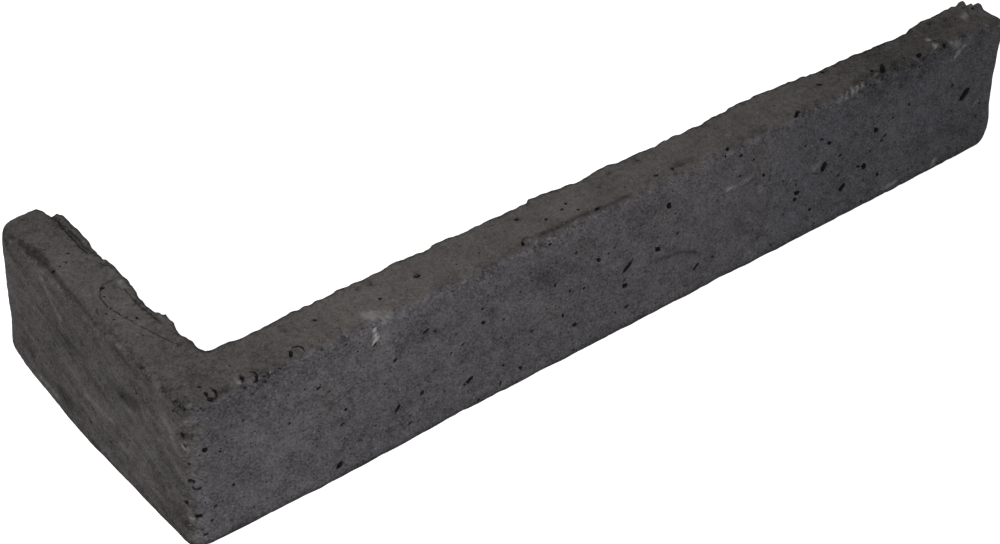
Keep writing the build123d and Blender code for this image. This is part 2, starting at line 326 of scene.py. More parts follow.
# Bubbles that broke through the skin: a shallow dish, and a rim groove that runs over part of its edge.
# Place, width, dish depth, groove width, then where the groove begins and ends, in degrees:
# 0 lies along the leg and 90 away from the floor.
brokenBubbles = [
    ((8.0, 2.6, 47.6), 2.6, 0.45, 0.8, 150, 390), ((16.0, 2.2, 48.8), 1.9, 0.30, 0.6, -90, 90),
    ((19.1, 1.8, 47.9), 2.6, 0.35, 0.7, -110, 80), ((32.7, 2.1, 48.5), 3.4, 0.30, 0.8, -20, 120),
    ((104.1, 1.6, 48.3), 3.2, 0.25, 0.5, 10, 190), ((2.3, 1.0, 22.6), 2.0, 0.30, 1.0, 180, 350),
    ((211.2, 0.0, 25.4), 4.2, 0.30, 1.2, -65, 15), ((211.2, 0.0, 25.4), 4.2, 0.10, 0.5, 200, 290),
]
# Small pores strewn over each face: how many, and the two corners of the patch that they are drawn from
strewnPores = [
    (230, (3, 0, 1.5), (285, 0, 46.5)),  # the long leg's outer face
    (40, (4, 2.5, bedHeight), (282, 12, bedHeight)),  # its upper bed
    (60, (6, 3.5, 0), (282, 11, 0)),  # its lower bed
    (90, (20, thickness, 6), (280, thickness, 43)),  # its glue face
    (8, (longLeg, 4, 4), (longLeg, 11, 44)),  # its end
    (45, (0, 6, 3), (0, 78, 46)),  # the short leg's outer face
    (14, (3, 17, bedHeight), (9, 78, bedHeight)),  # its upper bed
    (14, (4, 17, 0), (11, 70, 0)),  # its lower bed
    (24, (thickness, 20, 6), (thickness, 80, 43)),  # its glue face
]
holeSettings = {
    "seed": 5,
    "narrowest": 0.45,  # a pore's width
    "widest": 1.1,
    "longer": 0.6,  # how much longer than wide a pore is at most
    "deep": 0.75,  # a pore's depth, as a share of its width
    "apart": 0.9,  # clear ground between two pores
    "lump": 0.36,  # how uneven a wall is, as a share of the radius
    "lumpsAcross": 1.6,
    "weld": 0.001,  # corners of a cutter nearer than this become one
    "finerFrom": (0.28, 1.2),  # half lengths from which a wall has more faces
    "sunk": 0.12,  # how far the middle lies under the surface, as a share of the depth
    # the painted shade inside a hole, and the painted light on one wall of a wide one
    "brim": 0.08,  # how far below the surface a hole begins to be dark
    "brimDark": 0.6,  # how dark it is there
    "darkening": 0.5,  # in this depth it darkens by one
    "reach": 1.25,  # how far from its middle the skin is looked at, as a share of its largest half size
    "outline": 1.35,  # above 1, the dark goes a little past the hole's outline
    "litWall": 0.45,  # how much paler, as painted light, the wall towards the upper left is in a wide hole
    "litFrom": 0.9,  # half length from which a hole is wide
}

surface = BVHTree.FromObject(casting, bpy.context.evaluated_depsgraph_get())
holes = []  # middle, facing, right, half sizes


def skinAt(place):
    # the spot on the skin at a place, and which way it faces: straight out of a core inside the two legs
    place = Vector(place)
    ways = []
    for lengths in ((longLeg, thickness, bedHeight), (thickness, shortLeg, bedHeight)):
        inside = Vector([min(max(value, arris), length - arris) for value, length in zip(place, lengths)])
        ways.append(place - inside)
    facing = min(ways, key=lambda way: way.length).normalized()
    reach = castingSettings["skinReach"]
    spot = surface.ray_cast(toFrame(place + reach * facing), -facing, 2 * reach * mm)[0]
    return spot or toFrame(place), facing


def rightOf(facing):
    right = Vector((0, 0, 1)).cross(facing)
    if right.length < 0.5:  # on a bed, where right is along the long leg
        right = Vector((1, 0, 0)) - facing * facing.x
    return right.normalized()


def pressHole(place, length, width, depth, tilt):
    spot, facing = skinAt(place)
    right = Matrix.Rotation(radians(tilt), 3, facing) @ rightOf(facing)
    middle = spot - facing * holeSettings["sunk"] * depth * mm
    holes.append((middle, facing, right, Vector((length / 2, width / 2, depth)) * mm))


def strewPores(draw, count, least, most):
    # most are narrow and round, and one is left out where it would run into another hole
    for turn in range(count):
        place = [draw.uniform(*ends) for ends in zip(least, most)]
        extra = (holeSettings["widest"] - holeSettings["narrowest"]) * draw.random() ** 3
        width = holeSettings["narrowest"] + extra
        length = width * (1 + holeSettings["longer"] * draw.random() ** 2)
        tilt = draw.uniform(0, 180)
        room = (holeSettings["apart"] + length / 2) * mm
        middle = toFrame(place)
        if all((middle - other[0]).length > room + max(other[3]) for other in holes):
            pressHole(place, length, width, holeSettings["deep"] * width, tilt)


def addHole(bm, hole):
    middle, facing, right, half = hole
    fineness = 1 + sum(half.x > length * mm for length in holeSettings["finerFrom"])
    axes = Matrix((right, facing.cross(right), facing)).transposed().to_4x4()
    place = Matrix.Translation(middle) @ axes @ Matrix.Diagonal((*half, 1))
    made = bmesh.ops.create_icosphere(bm, subdivisions=fineness, radius=1)
    shift = middle / mm
    for vert in made["verts"]:
        lump = 1 + holeSettings["lump"] * noise.noise(vert.co * holeSettings["lumpsAcross"] + shift)
        vert.co = place @ (vert.co * lump)


for along, up, *size in frontHoles:
    pressHole((along, 0, up), *size)
for along, back, *size in bedHoles:
    pressHole((along, back, bedHeight), *size)
for along, back, up, *size in arrisHoles:
    pressHole((along, back, up), *size)
draw = Random(holeSettings["seed"])
for count, least, most in strewnPores:
    strewPores(draw, count, least, most)
print("holes", len(holes))

# Creases where one lift of the mix lapped another: width, how dark the painted shade in its groove is, then
# the line's places
creases = [
    (0.5, 0.5, [(11, 49.6, 49), (8.5, 50, 49), (6.3, 47.9, 49), (5.3, 45.4, 49), (5, 41.9, 49),
        (6.3, 36.3, 49), (8.4, 28.5, 49), (11, 20.4, 49)]),
    (0.5, 0.5, [(12, 46.6, 49), (11.8, 44.4, 49), (11.5, 40.4, 49), (11.6, 37.1, 49),
        (11.9, 33.9, 49), (12.1, 30.8, 49)]),
    (0.6, 0.7, [(3.2, 43.4, 49), (2.2, 42.6, 49), (1.8, 41.4, 49)]),
    (0.65, 0.6, [(12.7, 78.7, 49), (12.3, 75.8, 49), (12, 72.5, 49), (12, 68.6, 49), (11.7, 65.4, 49),
        (11.9, 61.9, 49)]),
    (0.5, 0.5, [(12.4, 57.2, 49), (12.7, 55.5, 49), (13.9, 55.1, 49)]),
    (0.5, 0.4, [(210.9, 0, 35.6), (212.4, 0, 34.9), (214, 0, 33.2)]),
    (0.4, 0.4, [(38.9, 0, 28.8), (42.9, 0, 29.6), (47.6, 0, 29.9)]),
    (0.5, 0.5, [(203.2, 0, 23.4), (202.6, 0, 24.8), (200.8, 0, 26)]),
    (0.5, 0.5, [(0, 58.2, 28.3), (0, 55, 27.9), (0, 52.3, 27.1)]),
    (0.5, 0.4, [(0, 64, 38.5), (0, 59.8, 34.9), (0, 56.8, 32), (0, 53.4, 29.5)]),
    (0.45, 0.35, [(0, 18.8, 10), (0, 14.2, 11.2), (0, 6.2, 12.5)]),
]
creaseSettings = {
    "step": 1.2,  # from one point of its tube to the next
    "waver": 0.25,  # how far it strays from its line
    "waverAcross": 0.4,
    "tip": 0.35,  # how wide it is at its two ends, as a share of its width
    "taper": 0.4,  # how much wider it gets at each step from there
    "uneven": 0.6,  # how much its width varies
    "unevenAcross": 0.9,
    "grooveStep": 20,  # degrees from one place to the next along a broken bubble's rim
    "bubbleGrooveShade": 0.95,  # of the painted shade in that groove
    "dab": 0.4,  # from one place that is painted with shade to the next
    "reach": 0.62,  # how far from its line the skin is looked at, as a share of its width
    "darkBelow": 0.3,  # how deep its painted shade is quite dark, as a share of its width
}

for place, width, depth, groove, begin, end in brokenBubbles:
    facing = skinAt(place)[1]
    right = rightOf(facing)
    away = facing.cross(right)
    count = max(2, round((end - begin) / creaseSettings["grooveStep"]))
    turns = [radians(begin + (end - begin) * turn / count) for turn in range(count + 1)]
    rim = [Vector(place) + width / 2 * (cos(turn) * right + sin(turn) * away) for turn in turns]
    creases.append((groove, creaseSettings["bubbleGrooveShade"], [tuple(stop) for stop in rim]))


def traced(stops, step, waver=0):
    # places at even steps along a line of stops, with a slight waver
    places = []
    for first, second in zip(stops, stops[1:]):
        first, second = Vector(first), Vector(second)
        count = max(1, round((second - first).length / step))
        places += [first.lerp(second, turn / count) for turn in range(count)]
    places.append(Vector(stops[-1]))
    return [place + waver * noise.noise_vector(place * creaseSettings["waverAcross"]) for place in places]


def addCrease(bm, width, stops):
    # a thin tube laid along the surface, thinner at both tips
    curve = bpy.data.curves.new("crease", "CURVE")
    curve.dimensions = "3D"
    curve.bevel_depth = width / 2 * mm
    curve.bevel_resolution = 1
    curve.use_fill_caps = True
    places = traced(stops, creaseSettings["step"], creaseSettings["waver"])
    spline = curve.splines.new("NURBS")
    spline.points.add(len(places) - 1)
    for count, (point, place) in enumerate(zip(spline.points, places)):
        point.co = (*skinAt(place)[0], 1)
        fromTip = min(count, len(places) - 1 - count)
        point.radius = min(1, creaseSettings["tip"] + creaseSettings["taper"] * fromTip)
        point.radius *= 1 + creaseSettings["uneven"] * noise.noise(place * creaseSettings["unevenAcross"])
    spline.order_u = 3
    spline.use_endpoint_u = True
    tube = addToScene("crease", curve)
    mesh = bpy.data.meshes.new_from_object(tube)
    bm.from_mesh(mesh)
    bpy.data.objects.remove(tube)
    bpy.data.meshes.remove(mesh)
    bpy.data.curves.remove(curve)


def cutAway(piece, bm):
    bmesh.ops.remove_doubles(bm, verts=bm.verts, dist=holeSettings["weld"] * mm)
    bmesh.ops.recalc_face_normals(bm, faces=bm.faces)
    mesh = bpy.data.meshes.new("cutter")
    bm.to_mesh(mesh)
    bm.free()
    cutter = addToScene("cutter", mesh)
    cut = piece.modifiers.new("cut", "BOOLEAN")
    cut.operation = "DIFFERENCE"
    cut.solver = "MANIFOLD"
    cut.object = cutter
    applyModifiers(piece)
    bpy.data.objects.remove(cutter)
    bpy.data.meshes.remove(mesh)


bm = bmesh.new()
for place, width, depth, groove, begin, end in brokenBubbles:
    spot, facing = skinAt(place)
    addHole(bm, (spot, facing, rightOf(facing), Vector((width / 2, width / 2, depth)) * mm))
cutAway(casting, bm)
bm = bmesh.new()
for width, grooveShade, stops in creases:
    addCrease(bm, width, stops)
cutAway(casting, bm)
bm = bmesh.new()
for hole in holes:
    addHole(bm, hole)
cutAway(casting, bm)
print("cut", len(casting.data.polygons), "faces")


def triangleCount(mesh):
    return sum(len(polygon.vertices) - 2 for polygon in mesh.polygons)


thinOut = casting.modifiers.new("thin out", "DECIMATE")
thinOut.ratio = min(1, castingSettings["triangles"] / triangleCount(casting.data))
applyModifiers(casting)
casting.data.shade_smooth()
casting.data.set_sharp_from_angle(angle=radians(castingSettings["sharpFrom"]))
print("thinned", triangleCount(casting.data), "triangles")

# Marks on the skin: reach in millimetres, strength, then the line's places
stains = [  # brown-black, where release oil and pigment gathered
    (1.5, 0.7, [(1.1, 76.3, 48.2), (1.5, 72.2, 48.5)]),
    (2.0, 0.95, [(1.5, 72.2, 48.5), (2.1, 68.4, 48.8), (1.9, 65.7, 48.7)]),
    (1.2, 0.6, [(1.9, 65.7, 48.7), (1, 56.4, 48.1), (0.6, 47.5, 47.6), (0.2, 40.2, 46.9)]),
    (1.1, 0.45, [(0, 33.3, 45.5), (0, 22.4, 44.7), (0, 16, 44.3)]),
    (1.1, 0.6, [(0, 68.5, 33.4), (0, 62.5, 32.3), (0, 55, 31.6), (0, 47.6, 31.3)]),
    (1.0, 0.5, [(0, 58.7, 32.3), (0, 53.4, 29.8)]), (12, 0.18, [(6, 0, 42), (4, 0, 26)]),
    (2.2, 0.5, [(0, 35.5, 32.3), (0, 33.4, 32.1)]), (3.2, 0.85, [(0, 30.5, 31.4), (0, 27, 32)]),
    (2.2, 0.65, [(0, 27, 32.6), (0, 23, 34)]), (3.4, 0.8, [(0, 60.4, 9.6), (0, 57, 8.4)]),
    (1.7, 0.7, [(0, 62, 10.2), (0, 58.5, 8)]), (3.0, 0.35, [(0, 68, 10), (0, 66, 9.6)]),
    (1.1, 0.6, [(0, 60, 30), (0, 54.5, 28), (0, 51, 26.3)]), (2.4, 0.4, [(0, 77, 15.3), (0, 73, 15.3)]),
    (0.9, 0.7, [(107.9, 2, 48.8), (113.1, 1.8, 48.7), (119.9, 1.9, 48.7), (128.8, 1.5, 48.5)]),
    (0.8, 0.6, [(127.9, 1.3, 48.4), (138.3, 1.2, 48.3)]),
    (1.2, 0.6, [(154.3, 2.9, 49), (159.4, 2.6, 48.9)]), (3.0, 0.3, [(107, 0, 35), (110, 0, 35)]),
    (2.2, 0.35, [(62.4, 0, 35), (62.8, 0, 35.6)]),
    (1.3, 0.35, [(115.6, 0, 36.6), (122.3, 0, 32.2), (129.5, 0, 29.3)]),
    (1.4, 0.35, [(190, 0, 10.8), (192.6, 0, 27.8)]), (1.2, 0.4, [(105.7, 0, 19.2), (106, 0, 18.9)]),
    (3.2, 0.3, [(255, 0, 13), (261.5, 0, 15.4), (268.9, 0, 13.6), (276.5, 0, 11.6)]),
    (0.9, 0.25, [(153.5, 0, 23.6), (158.3, 0, 21.5)]),
    (1.2, 0.35, [(179, 0, 21.4), (184.3, 0, 17.9), (190.1, 0, 15.2)]),
    (1.2, 0.35, [(180.7, 0, 18.5), (184.8, 0, 15), (190, 0, 11.9)]),
    (1.3, 0.4, [(183.9, 0, 24), (187.5, 0, 20.6), (190.1, 0, 19)]),
    (1.0, 0.45, [(180.2, 0, 32.7), (184.1, 0, 33.8)]),
    (1.1, 0.5, [(104.9, 0, 37.4), (108.4, 0, 35.1), (110.9, 0, 32.2)]),
    (0.9, 0.5, [(154.4, 1.2, 48.3), (154.8, 3, 49), (156.2, 3.7, 49), (158.6, 3.2, 49), (161.5, 2.6, 49)]),
    (0.9, 0.75, [(147.6, 0, 21.9), (154.5, 0, 20.7), (160.9, 0, 19.3), (165.9, 0, 16.3)]),
    (0.9, 0.5, [(231.1, 2.6, 48.8), (233.4, 2, 48.4)]),
    (0.8, 0.25, [(92.9, 0, 19.3), (100.6, 0, 20.4), (110.8, 0, 19.8), (125.3, 0, 18.8)]),
    (0.8, 0.25, [(84.2, 0, 36.7), (95, 0, 37.9), (103.7, 0, 39.1), (112.5, 0, 40.3)]),
    (0.9, 0.5, [(68.8, 0, 38), (70, 0, 36), (71.3, 0, 36.7), (72.5, 0, 36.7), (74.2, 0, 34.8),
        (77, 0, 35.4)]),
    (0.9, 0.4, [(62.7, 0, 35.7), (64.3, 0, 37.6), (65.9, 0, 40)]),
    (1.1, 0.3, [(0, 45.2, 28.1), (0, 40, 25.3), (0, 35.5, 24.2)]), (1.1, 0.25, [(24.3, 2.3, 48.9)]),
    (1.0, 0.25, [(26.1, 1, 48.1), (26.6, 1, 48.1)]), (1.6, 0.4, [(270.3, 5.4, 49), (262, 6.3, 49)]),
    (1.4, 0.4, [(224.7, 7.4, 49), (222.5, 7.4, 49)]),
]
blooms = [  # pale, where lime came to the surface or the skin was scuffed
    (0.75, 1.0, [(54.3, 0, 45.8), (54.6, 0, 42), (54.3, 0, 41.4)]),
    (2.6, 0.19, [(53.4, 2.9, 49), (58, 0.9, 48.1), (57.5, 0, 39.2)]),
    (1.0, 0.28, [(12.6, 48.4, 49), (12, 46.1, 49)]), (0.7, 0.44, [(11.4, 60.3, 49)]),
    (0.9, 0.44, [(174.4, 0, 34.5), (176.4, 0, 34.4)]), (0.9, 0.28, [(176.4, 0, 34.4), (183.4, 0, 34.6)]),
    (0.8, 0.44, [(199.4, 0, 26.4)]), (0.7, 0.22, [(187.5, 0, 30.8), (188.2, 0, 28.5), (187, 0, 27.9)]),
    (0.7, 0.3, [(216, 0, 46.4), (217, 0.6, 47.8)]), (0.7, 0.4, [(218.3, 0, 46.7), (219.2, 0.8, 48.1)]),
    (0.7, 0.4, [(220.4, 0, 46.9), (221.4, 1, 48.3)]), (0.7, 0.35, [(222.6, 0, 47.2), (223.3, 0.9, 48.2)]),
    (0.7, 0.45, [(224.8, 0.3, 47.3), (225.6, 1.2, 48.4)]),
    (0.9, 0.44, [(267.3, 0, 44.8), (265, 0, 43.5), (264.1, 0, 42)]),
    (1.3, 0.28, [(262.4, 0.7, 47.7), (264.8, 0, 46)]), (0.7, 0.44, [(255.5, 4.4, 49), (255.5, 1.4, 48.4)]),
    (1.5, 0.33, [(275.6, 7.4, 49), (273, 6.1, 49)]), (0.7, 0.9, [(277.4, 6.3, 49), (277.4, 2.6, 48.8)]),
    (1.0, 0.22, [(277.5, 0.3, 47.1), (277.5, 1, 48)]), (1.2, 0.22, [(279.1, 0, 20)]),
    (1.1, 0.42, [(264, 0, 5.4), (263.4, 0, 3)]), (1.2, 0.42, [(241.4, 0, 4.6), (246.9, 0, 4.5)]),
    (1.6, 0.19, [(186.8, 0, 6), (188.4, 0, 4.6)]), (0.8, 0.22, [(1.9, 2.4, 48)]),
    (0.8, 0.25, [(2.6, 1.9, 45.8)]), (1.0, 0.17, [(0.9, 2.2, 43.4)]), (0.8, 0.22, [(1.9, 1.1, 43.7)]),
    (0.6, 0.28, [(0.2, 3.7, 35.2), (0.8, 2.3, 34.2)]), (0.8, 0.28, [(0.7, 2.5, 11.4), (1.4, 1.6, 11.8)]),
    (0.6, 0.33, [(15.2, 2.6, 48.9), (14.9, 1.9, 48.7), (15.6, 1.3, 48.3)]),
    (0.7, 0.39, [(31.7, 2.2, 48.2), (31.7, 1.8, 48)]), (0.8, 0.19, [(8, 2.8, 47.6), (8, 2.4, 47.4)]),
    (0.7, 0.28, [(232.2, 1.8, 48.6), (231, 1.6, 48.5)]), (1.4, 0.17, [(209, 0, 26), (211, 0, 27)]),
    (0.8, 0.33, [(0, 27.3, 12.6)]), (2.6, 0.11, [(0, 31.1, 13.5), (0, 28, 14)]),
    (1.2, 0.28, [(0, 70.2, 7.9), (0, 66.4, 7.1), (0, 63.5, 6.4)]),
    (1.0, 0.17, [(0, 67.3, 46), (0, 64.6, 44.6), (0, 61.4, 40.3), (0, 57.2, 36.7)]),
    (1.3, 0.17, [(0, 47.7, 18.5), (0, 40.7, 18.7), (0, 35.2, 18.8)]),
    (1.3, 0.14, [(0, 10, 38.5), (0, 7.4, 34.1), (0.1, 4.2, 31.5)]),
]
tones = [  # paler and darker ground: place, reach, then how much
    ((30, 0, 26), 18, 0.10), ((62, 0, 22), 14, 0.03), ((92, 0, 22), 18, -0.04), ((110, 0, 35), 9, -0.18),
    ((112, 0, 16), 10, 0.07), ((150, 0, 18), 10, 0.05), ((5, 0, 10), 12, -0.08), ((8, 0, 44), 10, -0.08),
    ((230, 0, 14), 12, -0.04), ((240, 0, 30), 18, 0.2), ((12, 78, 49), 10, -0.2), ((6, 80, 49), 12, -0.18),
    ((215, 0, 40), 14, 0.06), ((272, 0, 20), 14, -0.06), ((167, 0, 46), 7, 0.12), ((128, 0, 45), 6, 0.08),
    ((57, 6, 49), 20, 0.10), ((120, 7, 49), 16, 0.08), ((180, 7, 49), 18, -0.06), ((220, 8, 49), 16, -0.05),
    ((236, 12, 48), 8, -0.12), ((10, 18, 49), 16, -0.12), ((8, 48, 49), 14, -0.08), ((25, 5, 49), 20, -0.2),
    ((240, 5, 49), 26, -0.30), ((284, 6, 49), 14, -0.12), ((280, 8, 48.5), 8, 0.42),
    ((258, 6, 49), 13, -0.18), ((5, 5, 49), 12, -0.14), ((10, 12, 49), 16, -0.14), ((11, 62, 49), 6, -0.10),
    ((0, 8, 8), 10, -0.22), ((0.8, 2.5, 40), 6, -0.22), ((0, 40, 6), 10, -0.08), ((0, 24, 22), 12, 0.06),
    ((0, 68, 10), 8, 0.10), ((0, 68, 26), 9, 0.07), ((0, 8, 35), 8, 0.07),
]
markSettings = {
    "strokeStep": 0.4,  # from dab to dab, as a share of the reach
    "strokeFull": 1.6,  # above 1 a stroke is at its full strength over more of its width
    # painted shade along the edge that the upper bed's inner rim turns over: how far around it the skin is
    # darker, and how much
    "rimReach": 0.8,
    "rimShade": 0.4,
    # where that edge is looked for: how far in from the outer faces, up to where along, how far below
    # the bed, and how much it faces up
    "rimFrom": 9.5,
    "rimEnd": 272,
    "rimDepth": 5,
    "rimUpward": (0.35, 0.8),
}


def paint(mesh, name, values):
    attribute = mesh.attributes.new(name, "FLOAT", "POINT")
    attribute.data.foreach_set("value", values)


def strokeValues(mesh, finder, strokes):
    values = [0.0] * len(mesh.vertices)
    for reach, strength, stops in strokes:
        for place in traced(stops, markSettings["strokeStep"] * reach):
            for spot, index, gap in finder.find_range(toFrame(place), reach * mm):
                fade = min(1, markSettings["strokeFull"] * fallOff(gap, reach * mm))
                values[index] = max(values[index], strength * fade)
    return values


def toneAndShadeValues(mesh, finder):
    # paler and darker ground, and painted shade along the upper bed's inner rim
    look = markSettings
    values = [0.0] * len(mesh.vertices)
    least, most = look["rimUpward"]
    # painted shade along the upper bed's inner rim
    for vert in mesh.vertices:
        along, back, up = (vert.co - outerCorner) / mm
        onRim = min(along, back) > look["rimFrom"] and up > bedHeight - look["rimDepth"]
        if onRim and along < look["rimEnd"] and least < vert.normal.z < most:
            for spot, index, gap in finder.find_range(vert.co, look["rimReach"] * mm):
                values[index] = -look["rimShade"]
    for centre, reach, strength in tones:
        for spot, index, gap in finder.find_range(toFrame(centre), reach * mm):
            values[index] += strength * fallOff(gap, reach * mm)
    return values


def holeShadeValues(mesh, finder):
    # painted shade: one at the bottom of each hole and groove, nought outside them, less on the wall of a
    # wide hole that is painted as lit
    look = holeSettings
    values = [0.0] * len(mesh.vertices)
    for middle, facing, right, half in holes:
        brim = middle + facing * look["sunk"] * half.z
        up = facing.cross(right)
        towardsLit = facing.cross(rightOf(facing)) - rightOf(facing)
        pale = look["litWall"] if half.x > look["litFrom"] * mm else 0
        for spot, index, gap in finder.find_range(middle, look["reach"] * max(half)):
            below = (brim - spot).dot(facing)
            offset = spot - middle
            within = (offset.dot(right) / half.x) ** 2 + (offset.dot(up) / half.y) ** 2 < look["outline"]
            if within and below > look["brim"] * mm:
                lit = pale * min(1, max(0, offset.dot(towardsLit) / half.x))
                dark = min(1, look["brimDark"] + below / (look["darkening"] * mm))
                values[index] = max(values[index], (1 - lit) * dark)
    look = creaseSettings
    for width, grooveShade, stops in creases:
        for place in traced(stops, look["dab"], look["waver"]):
            spot, facing = skinAt(place)
            for near, index, gap in finder.find_range(spot, look["reach"] * width * mm):
                depth = (spot - near).dot(facing) / (look["darkBelow"] * width * mm)
                values[index] = max(values[index], grooveShade * min(1, max(0, depth)))
    return values


finder = kdtree.KDTree(len(casting.data.vertices))
for vert in casting.data.vertices:
    finder.insert(vert.co, vert.index)
finder.balance()
paint(casting.data, "stain", strokeValues(casting.data, finder, stains))
paint(casting.data, "bloom", strokeValues(casting.data, finder, blooms))
paint(casting.data, "toneAndShade", toneAndShadeValues(casting.data, finder))
paint(casting.data, "holeShade", holeShadeValues(casting.data, finder))
print("marks painted")


def colour(code):
    # an sRGB hex value such as "#4a484c" as linear red, green, blue and alpha
    channels = [int(code[start:start + 2], 16) / 255 for start in (1, 3, 5)]
    return [c / 12.92 if c <= 0.04045 else ((c + 0.055) / 1.055) ** 2.4 for c in channels] + [1]


def addNode(tree, kind, settings=None, inputs=None):
    # adds a node; an input takes a value, or an output of another node
    node = tree.nodes.new(kind)
    for name, value in (settings or {}).items():
        setattr(node, name, value)
    for name, value in (inputs or {}).items():
        if isinstance(value, bpy.types.NodeSocket):
            tree.links.new(value, node.inputs[name])
        else:
            node.inputs[name].default_value = value
    return node


def newTree(owner):
    owner.use_nodes = True
    owner.node_tree.nodes.clear()
    return owner.node_tree


def reckon(tree, operation, *values):
    # a sum, a product or the like of values and of other nodes' outputs
    return addNode(tree, "ShaderNodeMath", {"operation": operation}, dict(enumerate(values))).outputs[0]


def spread(tree, value, low, high, toLow=0, toHigh=1):
    # what runs from low to high runs from toLow to toHigh instead, and no further
    return addNode(tree, "ShaderNodeMapRange", None, {
        "Value": value, "From Min": low, "From Max": high, "To Min": toLow, "To Max": toHigh}).outputs[0]


def mix(tree, share, ground, tint, blend="MIX"):
    return addNode(tree, "ShaderNodeMix", {"data_type": "RGBA", "blend_type": blend}, {
        0: share, 6: ground, 7: tint}).outputs[2]


# Charcoal wet-cast concrete: a matt skin of fine cement paste that took the mould's face, lilac to bluish
# where it set against the mould and browner on the upper bed, partly its own colour and partly painted warm
# light from above, mottled by pigment and lime, with pinholes and pale sand grains, and painted shade in
# hollows.
concreteSettings = {
    "mouldSide": "#4f4d50",
    "mouldWarm": "#4c4947",  # patches, and most of the short leg's face
    "farEnd": "#4b4b4f",
    # the upper bed's colour, partly its own and partly painted warm light from above
    "bedColourAndTopLight": "#494644",
    # painted shade inside holes, grooves and pinholes
    "hole": "#0b0b0b",
    "stain": "#6e6661",  # what a stain leaves of the ground's colour
    "lime": "#a09e9c",
    # size in millimetres, detail, how far drawn out, rise in degrees, then how strong the contrast is
    # on the long leg's face, on the short leg's and on the beds
    "patterns": {
        "clouds": (38, 2, (1, 1, 1), 0, 0.07, 0.05, 0.05),
        "hues": (9, 3, (1, 1, 1), 0, 0, 0, 0),
        "patches": (7, 3, (1.4, 1.4, 1), -40, 0.16, 0.18, 0),
        "mottle": (1.9, 3, (1.6, 1.6, 1), -42, 0.22, 0.22, 0),
        "grain": (0.55, 2, (1.6, 1.6, 1), -42, 0.40, 0.36, 0),
        "bedPatches": (7, 3, (1, 1, 1), 0, 0, 0, 0.14),
        "bedMottle": (1.7, 3, (1, 1, 1), 0, 0, 0, 0.17),
        "bedGrain": (0.6, 2, (1, 1, 1), 0, 0, 0, 0.26),
        "drags": (2.8, 3, (1, 8, 1), 19, 0, 0.28, 0),
    },
    "noiseRange": (0.3, 0.7),  # which the noise seldom leaves
    "drift": 6,  # how far the clouds push the border between two lifts of the mix
    "darkerFrom": 190,  # along the long leg, where the next lift was darker
    "darkerTo": 212,
    "darker": 0.12,
    "shortDarker": 0.13,  # on the short leg's face
    "arrisDarker": 0.18,  # on the upper arrises of the outer faces
    "arrisMottle": 0.18,  # and how patchy they are
    "rimShade": 0.5,  # painted shade where the skin turns down to the floor or back from the upper bed's rim
    "endShade": 0.5,  # painted shade on the upright arrises at the two ends
    # what counts as the upper bed, the short leg's face and an end's arris, by how the skin faces
    "upperBedFacing": (0.5, 0.8),
    "upperBedWaver": 0.16,  # how uneven the upper bed's border is
    "shortFacing": (-0.35, -0.85),
    "endFacing": (-0.3, -0.5),
    "hueSpread": 0.55,  # how much of the long leg's face is warmer, in patches
    "footShade": (1, 5, 0.52),  # painted shade along the foot: its two heights and how dark
    # from one to the next, radius as a share of that, share of cells with one, strength, colour
    "specks": [
        (3.1, 0.10, 0.40, 0.32, "lime"),
        (1.5, 0.16, 0.35, 0.40, "lime"),
        # these two are dark pinholes, their shade painted as dots
        (1.4, 0.21, 0.60, 0.95, "hole"),
        (0.9, 0.23, 0.45, 0.80, "hole"),
    ],
    "speckCore": 0.6,  # share of the radius that is at full strength
    "speckFaint": 0.3,  # share of the specks that are fainter than the rest
    "bedSpecks": 0.45,  # how much of their strength they keep on the beds
    "markBreaks": (-0.6, 0.2, 0.5),  # how the mottling breaks the painted marks: its range, and what stays
    "bump": (0.6, 0.06),  # strength, and height in millimetres
    "roughness": 0.92,
    "shine": 0.15,  # an open-pored face throws back little
}


